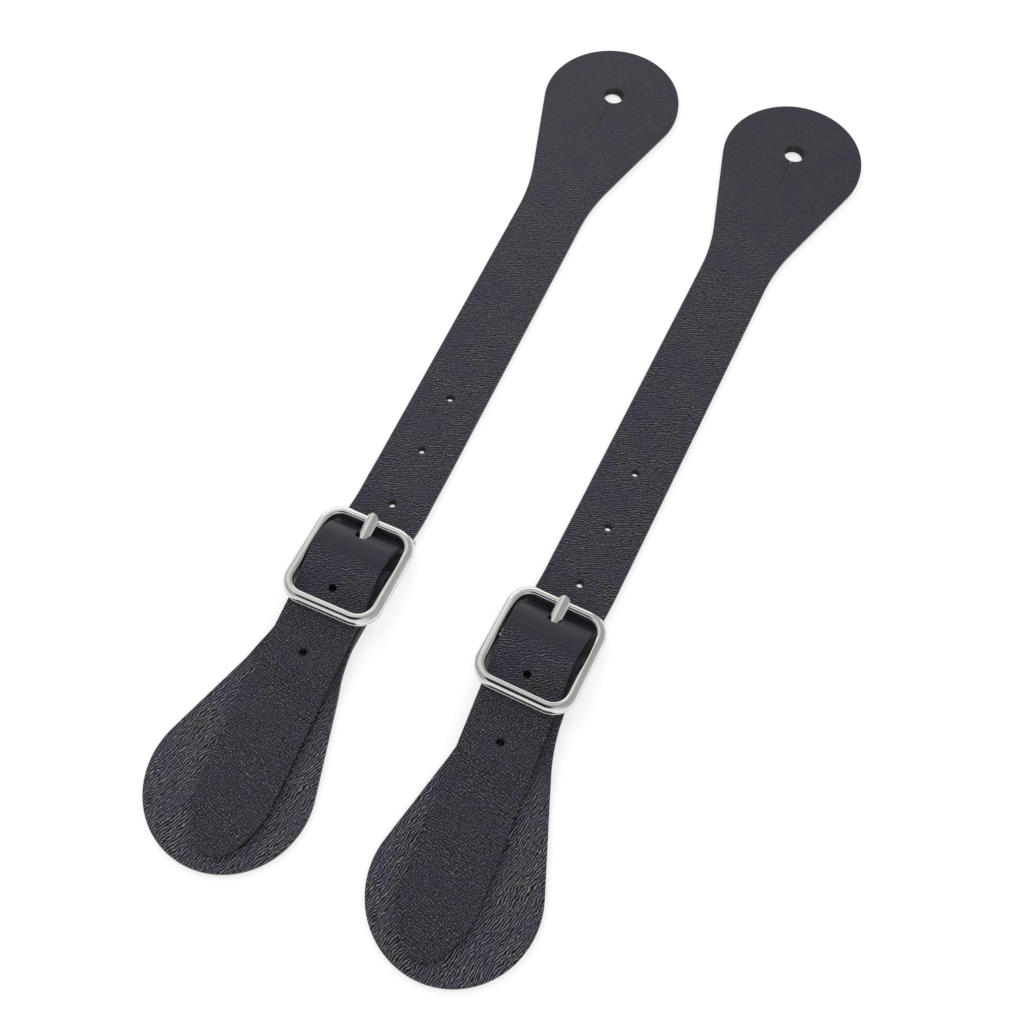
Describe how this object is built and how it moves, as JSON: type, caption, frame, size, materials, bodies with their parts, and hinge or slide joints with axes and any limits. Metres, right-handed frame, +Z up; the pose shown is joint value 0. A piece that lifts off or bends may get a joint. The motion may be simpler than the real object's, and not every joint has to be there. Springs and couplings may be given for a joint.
{
  "type": "pair of spur straps",
  "caption": "Pair of black grained-leather western spur straps, pear-shaped at both ends, each fastened through a nickel centre-bar buckle.",
  "frame": {"origin": "centre of the pair's outline, on the table it lies on", "axes": "+Y towards the heads of the long straps, +Z up, +X from the left strap to the right one"},
  "size_m": [0.1338, 0.3618, 0.0107],
  "materials": {
    "strap_leather": "pebbled grain, semi-matt black",
    "nickel": "bright nickel plate"
  },
  "bodies": {
    "left_strap": {"left_long_strap": "strap_leather"},
    "left_buckle": {"left_buckle_frame": "nickel", "left_centre_bar": "nickel"},
    "left_tongue": {"left_prong": "nickel"},
    "left_short": {"left_short_strap": "strap_leather", "left_rivet_posts": "nickel", "left_rivet_caps": "nickel"},
    "right_strap": {"right_long_strap": "strap_leather"},
    "right_buckle": {"right_buckle_frame": "nickel", "right_centre_bar": "nickel"},
    "right_tongue": {"right_prong": "nickel"},
    "right_short": {"right_short_strap": "strap_leather", "right_rivet_posts": "nickel", "right_rivet_caps": "nickel"}
  },
  "joints": [
    {"name": "left_buckle_swivel", "type": "hinge", "parent": "left_strap", "child": "left_buckle", "pos_m": [-0.03825, -0.06643, 0.007], "axis": [0, 0, 1], "range_deg": [-1, 0.8]},
    {"name": "left_prong_lift", "type": "hinge", "parent": "left_buckle", "child": "left_tongue", "pos_m": [-0.03815, -0.07343, 0.0037], "axis": [0.9999, 0.0148, 0], "range_deg": [0, 4]},
    {"name": "left_short_strap_swing", "type": "hinge", "parent": "left_buckle", "child": "left_short", "pos_m": [-0.03815, -0.07343, 0.0037], "axis": [0.9999, 0.0148, 0], "range_deg": [0, 60]},
    {"name": "right_buckle_swivel", "type": "hinge", "parent": "right_strap", "child": "right_buckle", "pos_m": [0.0318, -0.06638, 0.007], "axis": [0, 0, 1], "range_deg": [-1, 0.8]},
    {"name": "right_prong_lift", "type": "hinge", "parent": "right_buckle", "child": "right_tongue", "pos_m": [0.0317, -0.07338, 0.0037], "axis": [0.9999, -0.0148, 0], "range_deg": [0, 4]},
    {"name": "right_short_strap_swing", "type": "hinge", "parent": "right_buckle", "child": "right_short", "pos_m": [0.0317, -0.07338, 0.0037], "axis": [0.9999, -0.0148, 0], "range_deg": [0, 60]},
    {"name": "pair_slide", "type": "slide", "parent": "left_strap", "child": "right_strap", "axis": [1, 0, 0], "range_m": [0, 0.04]}
  ]
}
